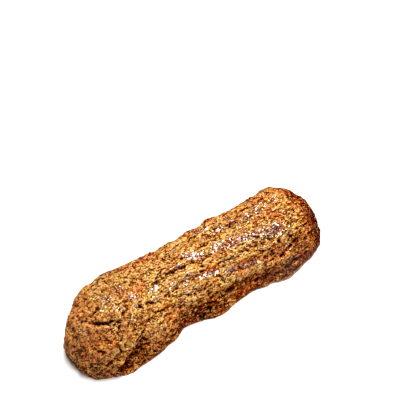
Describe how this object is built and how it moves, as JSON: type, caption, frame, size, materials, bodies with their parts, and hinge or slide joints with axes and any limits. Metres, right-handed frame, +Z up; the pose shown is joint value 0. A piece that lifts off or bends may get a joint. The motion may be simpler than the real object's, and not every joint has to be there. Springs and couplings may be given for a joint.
{
  "type": "speculoos biscuit",
  "caption": "Finger-shaped spiced biscuit with a wide rounded bulb at one end, piped ribs along its browned crust and a flat underside to lie on.",
  "frame": {"origin": "centre of the flat underside's bounding box", "axes": "+X along the biscuit from the wide bulb to the narrow end, +Z up, -Y the side seen in the picture"},
  "size_m": [0.0922, 0.0316, 0.0182],
  "materials": {
    "crust": "baked crumb crust, golden brown with toasted, slightly glossy rib tops"
  },
  "bodies": {
    "root": {"biscuit": "crust"}
  },
  "joints": []
}
